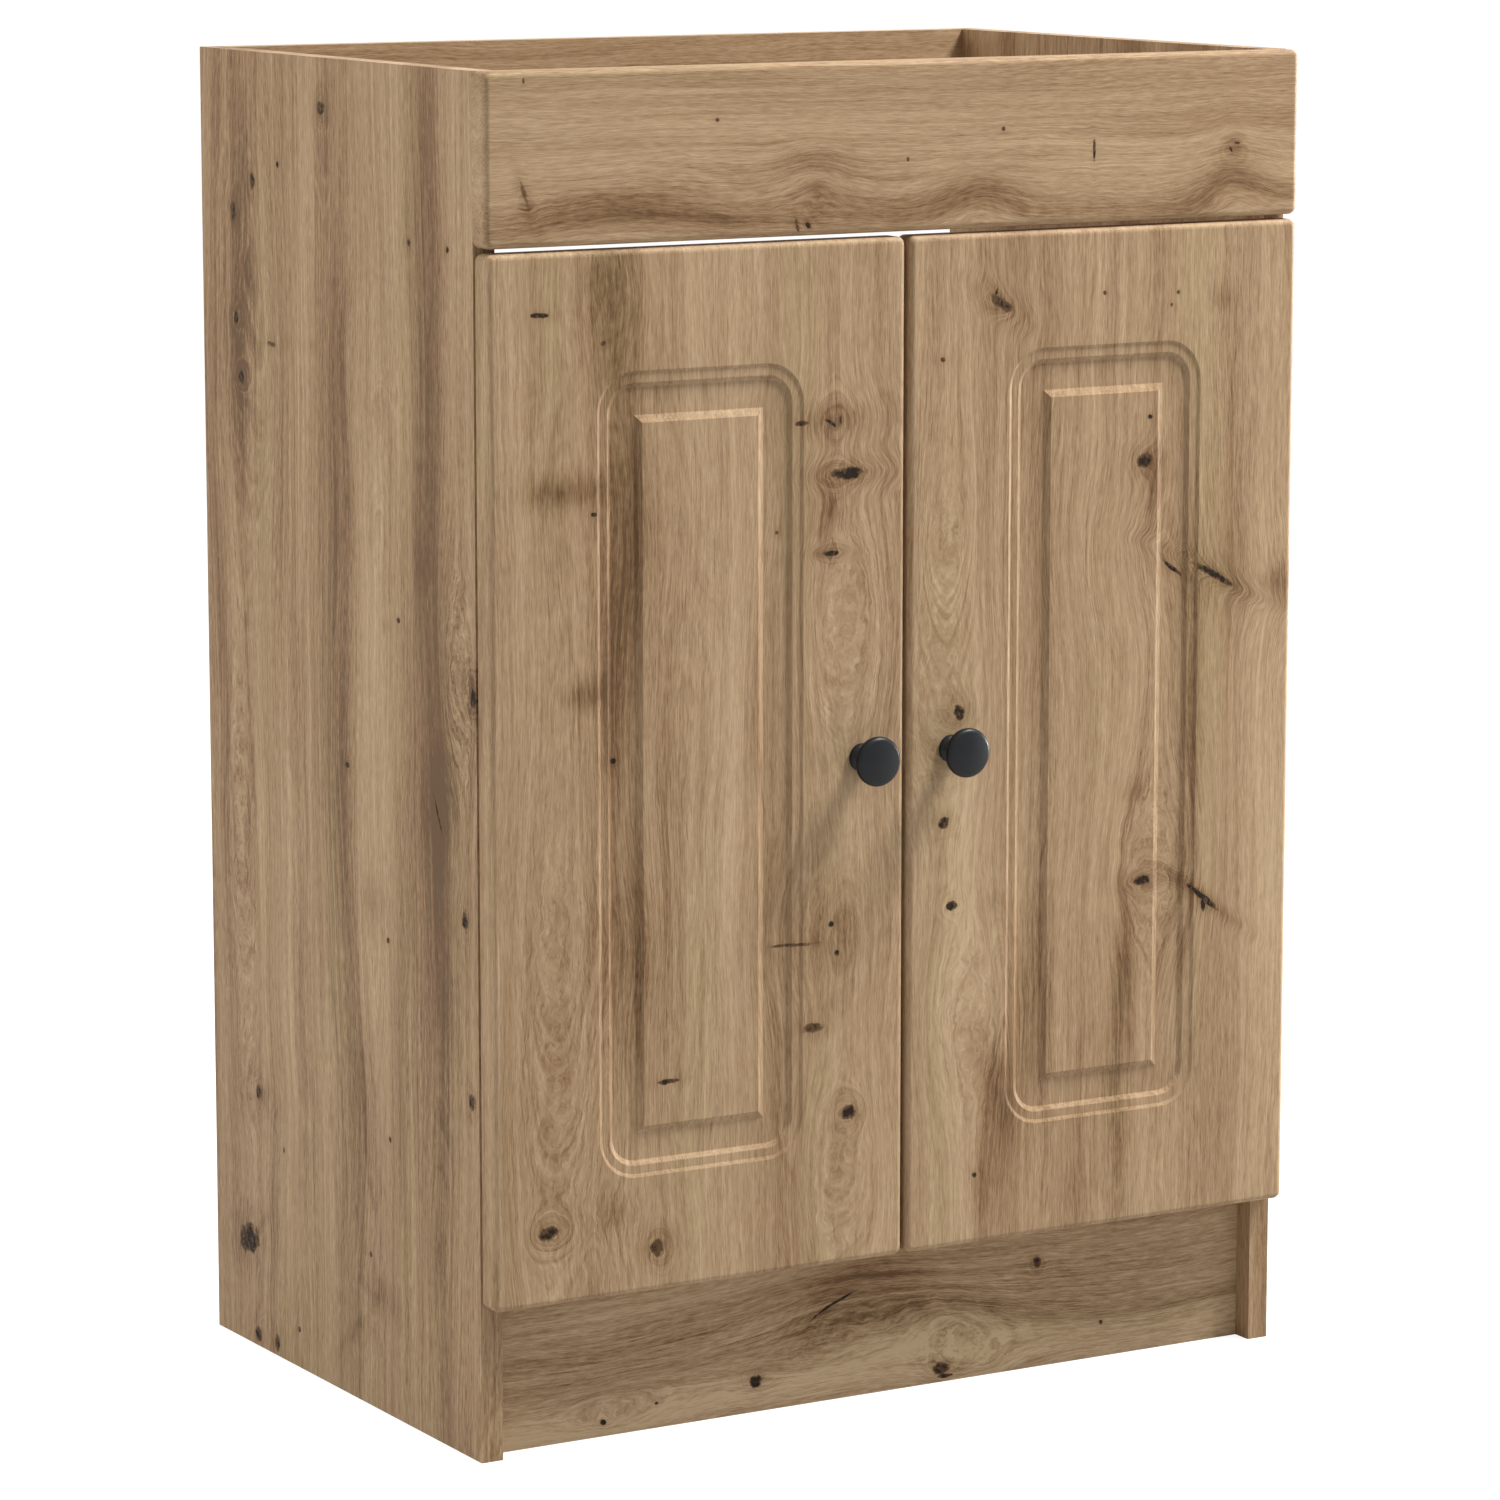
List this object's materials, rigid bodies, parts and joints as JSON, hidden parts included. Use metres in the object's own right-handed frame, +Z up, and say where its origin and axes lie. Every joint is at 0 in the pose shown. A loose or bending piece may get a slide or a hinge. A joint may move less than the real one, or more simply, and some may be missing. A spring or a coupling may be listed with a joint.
{
  "type": "sink base cabinet",
  "caption": "Freestanding sink base cabinet in oak-look board with an open top and back, a fixed front fascia and raised-panel double doors on concealed hinges, with dark mushroom knobs.",
  "frame": {"origin": "on the floor, under the centre of the cabinet's outer box, knobs included", "axes": "+Z up; -Y out of the front, through the doors and fascia; +X to the right when facing the front"},
  "size_m": [0.6, 0.428, 0.868],
  "materials": {
    "oak_board": "oak-look foiled particle board, satin",
    "oak_front": "oak-look foil on routed fibreboard, satin",
    "knob_black": "anthracite powder coat, soft satin",
    "hinge_steel": "nickel-plated pressed steel",
    "screw_steel": "zinc-plated steel",
    "zinc": "die-cast zinc",
    "beech": "plain beech",
    "clear_pad": "soft clear polyurethane"
  },
  "bodies": {
    "carcass": {"back_bottom_rail": "oak_board", "back_top_rail": "oak_board", "bottom_panel": "oak_board", "cam_bolts": "screw_steel", "cam_locks": "zinc", "door_bumpers": "clear_pad", "dowels": "beech", "fascia_bracket_screws": "screw_steel", "fascia_brackets": "hinge_steel", "fascia_panel": "oak_front", "hinge_arm_left_lower": "hinge_steel", "hinge_arm_left_upper": "hinge_steel", "hinge_arm_pins": "screw_steel", "hinge_arm_right_lower": "hinge_steel", "hinge_arm_right_upper": "hinge_steel", "hinge_arm_screws": "screw_steel", "hinge_plate_left_lower": "hinge_steel", "hinge_plate_left_upper": "hinge_steel", "hinge_plate_right_lower": "hinge_steel", "hinge_plate_right_upper": "hinge_steel", "hinge_plate_screws": "screw_steel", "plinth_board": "oak_board", "side_left": "oak_board", "side_right": "oak_board"},
    "left_door": {"door_left": "oak_front", "hinge_cup_left_lower": "hinge_steel", "hinge_cup_left_upper": "hinge_steel", "hinge_cup_pins_left": "screw_steel", "hinge_cup_screws_left": "screw_steel", "knob_left": "knob_black", "knob_screw_left": "screw_steel"},
    "right_door": {"door_right": "oak_front", "hinge_cup_pins_right": "screw_steel", "hinge_cup_right_lower": "hinge_steel", "hinge_cup_right_upper": "hinge_steel", "hinge_cup_screws_right": "screw_steel", "knob_right": "knob_black", "knob_screw_right": "screw_steel"},
    "left_swing_links": {"swing_link_left_lower": "hinge_steel", "swing_link_left_upper": "hinge_steel"},
    "left_cup_links": {"cup_link_left_lower": "hinge_steel", "cup_link_left_upper": "hinge_steel"},
    "right_swing_links": {"swing_link_right_lower": "hinge_steel", "swing_link_right_upper": "hinge_steel"},
    "right_cup_links": {"cup_link_right_lower": "hinge_steel", "cup_link_right_upper": "hinge_steel"}
  },
  "joints": [
    {"name": "left_door_hinge", "type": "hinge", "parent": "carcass", "child": "left_door", "pos_m": [-0.296, -0.1875, 0.429], "axis": [0, 0, -1], "range_deg": [0, 95]},
    {"name": "left_swing_links", "type": "hinge", "parent": "carcass", "child": "left_swing_links", "pos_m": [-0.2805, -0.1685, 0.429], "axis": [0, 0, -1], "range_deg": [0, 95]},
    {"name": "left_cup_links", "type": "hinge", "parent": "left_swing_links", "child": "left_cup_links", "pos_m": [-0.2655, -0.1605, 0.429], "axis": [0, 0, -1], "range_deg": [-95, 0]},
    {"name": "right_door_hinge", "type": "hinge", "parent": "carcass", "child": "right_door", "pos_m": [0.296, -0.1875, 0.429], "axis": [0, 0, 1], "range_deg": [0, 95]},
    {"name": "right_swing_links", "type": "hinge", "parent": "carcass", "child": "right_swing_links", "pos_m": [0.2805, -0.1685, 0.429], "axis": [0, 0, 1], "range_deg": [0, 95]},
    {"name": "right_cup_links", "type": "hinge", "parent": "right_swing_links", "child": "right_cup_links", "pos_m": [0.2655, -0.1605, 0.429], "axis": [0, 0, 1], "range_deg": [-95, 0]}
  ],
  "couplings": [
    {"joint": "left_swing_links", "follows": "left_door_hinge", "ratio": 1},
    {"joint": "left_cup_links", "follows": "left_door_hinge", "ratio": -1},
    {"joint": "right_swing_links", "follows": "right_door_hinge", "ratio": 1},
    {"joint": "right_cup_links", "follows": "right_door_hinge", "ratio": -1}
  ]
}
